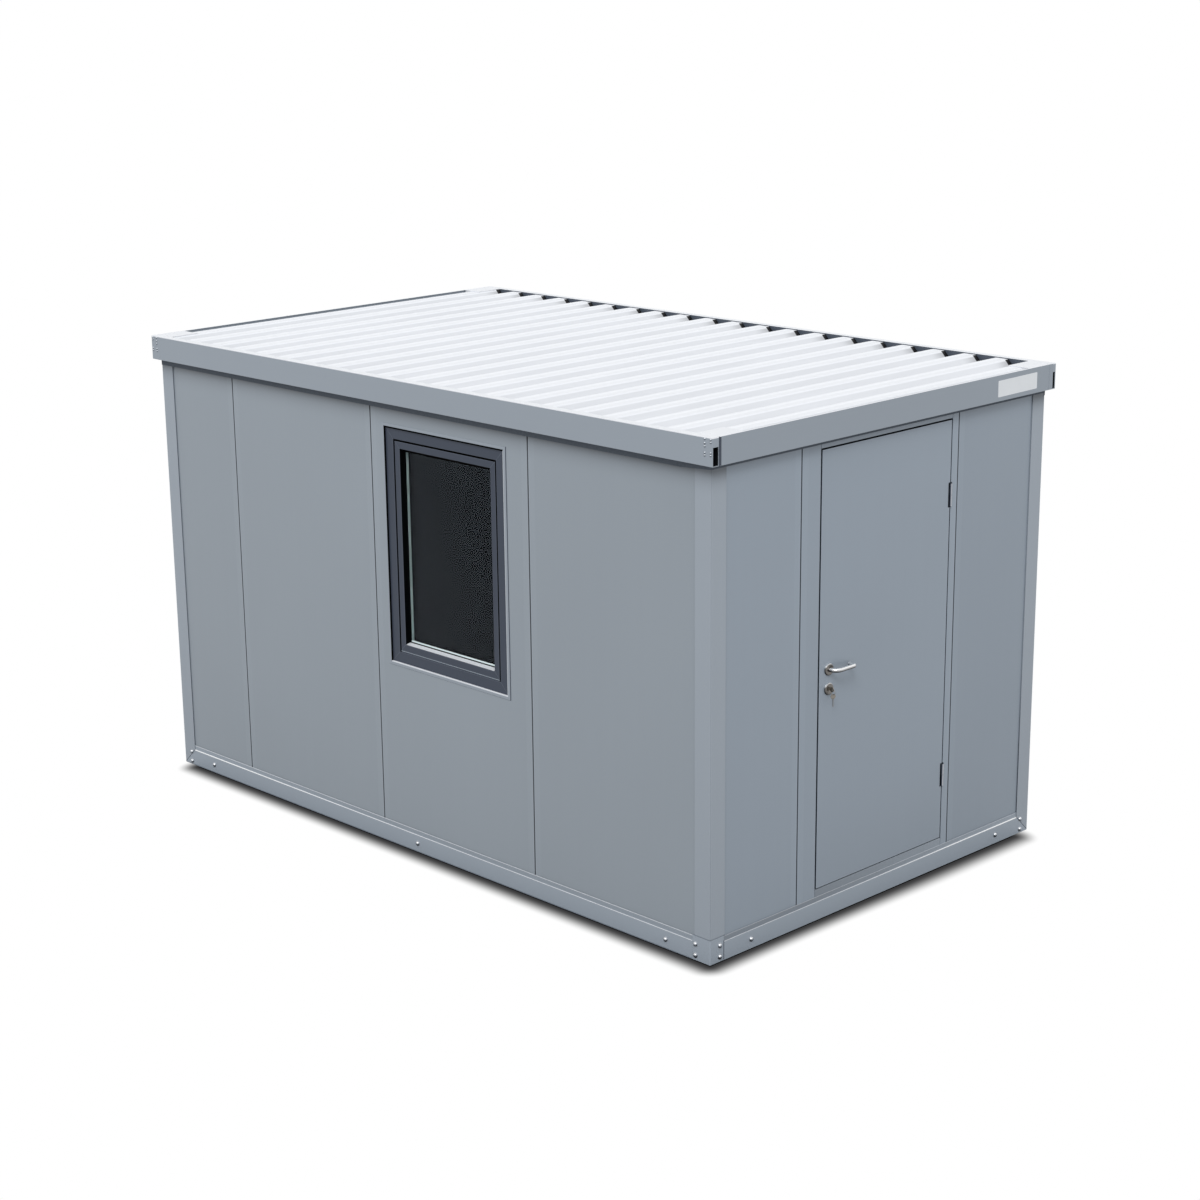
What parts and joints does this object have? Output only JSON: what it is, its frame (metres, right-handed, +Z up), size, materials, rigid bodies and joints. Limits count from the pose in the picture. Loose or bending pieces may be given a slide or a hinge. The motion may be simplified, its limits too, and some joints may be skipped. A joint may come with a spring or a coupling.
{
  "type": "portable office unit",
  "caption": "Steel-framed flat-pack cabin with insulated wall panels, a ribbed flat roof, a single outward-opening door in one end and a window in one long side.",
  "frame": {"origin": "middle of the base frame at ground level", "axes": "+X along the length towards the door end, -Y towards the window side, +Z up"},
  "size_m": [4.088, 2.438, 2.403],
  "materials": {
    "wall_panel": "smooth light grey paint, satin",
    "frame_steel": "light grey powder coat, satin",
    "roof_sheet": "pale grey coated sheet",
    "window_frame": "anthracite foiled plastic",
    "glass": "clear double glazing before a dark room",
    "stainless": "satin stainless steel",
    "nickel": "nickel-plated brass",
    "floor": "varnished board",
    "ceiling": "white lining"
  },
  "bodies": {
    "root": {"base_rail_front": "frame_steel", "base_rail_door_end": "frame_steel", "base_rail_back": "frame_steel", "base_rail_rear": "frame_steel", "corner_brackets": "frame_steel", "floor_joists": "frame_steel", "floor_deck": "floor", "post_front_right": "frame_steel", "post_back_right": "frame_steel", "post_back_left": "frame_steel", "post_front_left": "frame_steel", "front_panel_1": "wall_panel", "front_panel_2": "wall_panel", "front_panel_3": "wall_panel", "front_panel_4": "wall_panel", "back_panel_1": "wall_panel", "back_panel_2": "wall_panel", "back_panel_3": "wall_panel", "back_panel_4": "wall_panel", "rear_panel_1": "wall_panel", "rear_panel_2": "wall_panel", "rear_panel_3": "wall_panel", "door_wall_left": "wall_panel", "door_wall_right": "wall_panel", "door_jamb_lock": "wall_panel", "door_jamb_hinge": "wall_panel", "door_head": "wall_panel", "door_threshold": "frame_steel", "door_hinge_pins": "stainless", "window_frame": "window_frame", "window_sash": "window_frame", "window_glass": "glass", "window_trim": "frame_steel", "roof_rail_front": "frame_steel", "roof_rail_door_end": "frame_steel", "roof_rail_back": "frame_steel", "roof_rail_rear": "frame_steel", "roof_corner_plates": "roof_sheet", "ceiling": "ceiling", "roof_sheet": "roof_sheet"},
    "door": {"door_leaf": "wall_panel", "door_hinge_knuckles": "stainless", "door_roses": "stainless", "door_lock": "nickel"},
    "lever": {"door_lever": "stainless"}
  },
  "joints": [
    {"name": "door_swing", "type": "hinge", "parent": "root", "child": "door", "pos_m": [1.996, 0.47013, 0.155], "axis": [0, 0, 1], "range_deg": [0, 165]},
    {"name": "lever_turn", "type": "hinge", "parent": "door", "child": "lever", "pos_m": [1.994, -0.397, 1.205], "axis": [-1, 0, 0], "range_deg": [0, 40], "stiffness_Nm_per_rad": 2, "springref_deg": -20.05}
  ]
}
